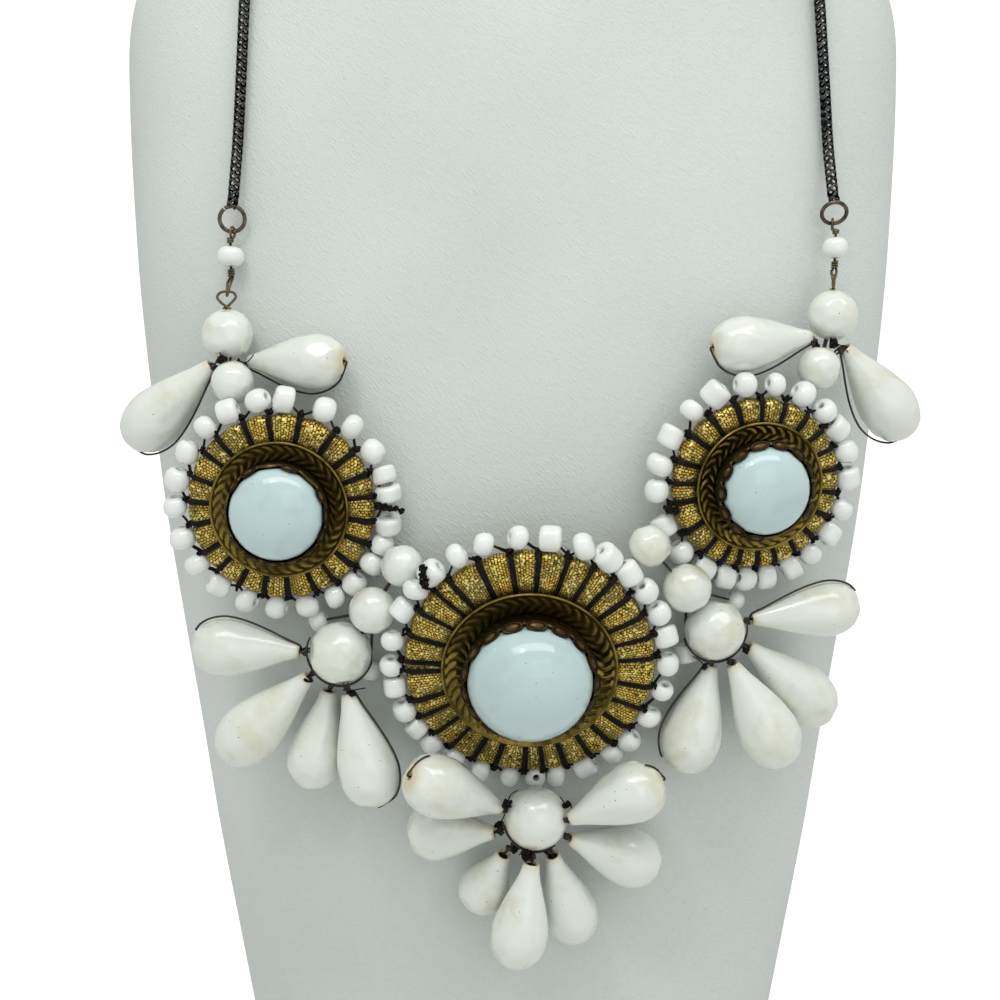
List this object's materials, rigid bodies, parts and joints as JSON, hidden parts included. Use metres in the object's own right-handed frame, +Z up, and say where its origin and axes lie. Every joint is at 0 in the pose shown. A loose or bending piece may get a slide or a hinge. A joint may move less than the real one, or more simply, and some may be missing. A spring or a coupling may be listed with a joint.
{
  "type": "bib necklace on a neck bust",
  "caption": "Bib necklace of white teardrop and round beads with domed-stone ribbon rosettes on a dark chain, worn by a plain white neck bust.",
  "frame": {"origin": "centre of the bust's flat underside", "axes": "+Z up; the necklace's front faces -Y; +X to the viewer's right"},
  "size_m": [0.1548, 0.1067, 0.305],
  "materials": {
    "bust_leatherette": "fine-grained matt white leatherette",
    "chain_metal": "oxidised gunmetal",
    "ring_metal": "darkened brass",
    "wire_brass": "aged brass wire",
    "white_glass": "opaque glossy white glass",
    "white_stone": "polished off-white with pale stains",
    "gold_ribbon": "metallic gold woven ribbon bound with dark thread",
    "stamped_brass": "antiqued and stamped",
    "bezel_brass": "antiqued, dark",
    "cabochon_glass": "opaque glossy pale aqua white"
  },
  "bodies": {
    "root": {"bust": "bust_leatherette", "chain_left": "chain_metal", "chain_right": "chain_metal", "clasp": "chain_metal", "jump_ring_left": "ring_metal", "jump_ring_right": "ring_metal", "link_wire_left": "wire_brass", "link_wire_right": "wire_brass", "link_bead_left": "white_glass", "link_bead_right": "white_glass", "disc_left": "gold_ribbon", "disc_centre": "gold_ribbon", "disc_right": "gold_ribbon", "dish_left": "stamped_brass", "dish_centre": "stamped_brass", "dish_right": "stamped_brass", "bezel_left": "bezel_brass", "bezel_centre": "bezel_brass", "bezel_right": "bezel_brass", "cabochon_left": "cabochon_glass", "cabochon_centre": "cabochon_glass", "cabochon_right": "cabochon_glass", "seed_ring_left": "white_glass", "seed_ring_centre": "white_glass", "seed_ring_right": "white_glass", "spacer_left_1": "white_glass", "spacer_left_2": "white_glass", "spacer_right_1": "white_glass", "spacer_right_2": "white_glass", "round_left_1": "white_stone", "round_left_2": "white_stone", "round_left_3": "white_stone", "round_left_4": "white_stone", "hub_left": "white_stone", "round_right_1": "white_stone", "round_right_2": "white_stone", "round_right_3": "white_stone", "round_right_4": "white_stone", "hub_right": "white_stone", "hub_bottom": "white_stone", "drop_left_top_1": "white_stone", "drop_left_top_2": "white_stone", "drop_right_top_1": "white_stone", "drop_right_top_2": "white_stone", "drop_left_1": "white_stone", "drop_left_2": "white_stone", "drop_left_3": "white_stone", "drop_left_4": "white_stone", "drop_right_1": "white_stone", "drop_right_2": "white_stone", "drop_right_3": "white_stone", "drop_right_4": "white_stone", "drop_bottom_1": "white_stone", "drop_bottom_2": "white_stone", "drop_bottom_3": "white_stone", "drop_bottom_4": "white_stone", "drop_bottom_5": "white_stone", "drop_bottom_6": "white_stone", "drop_bottom_7": "white_stone"}
  },
  "joints": []
}
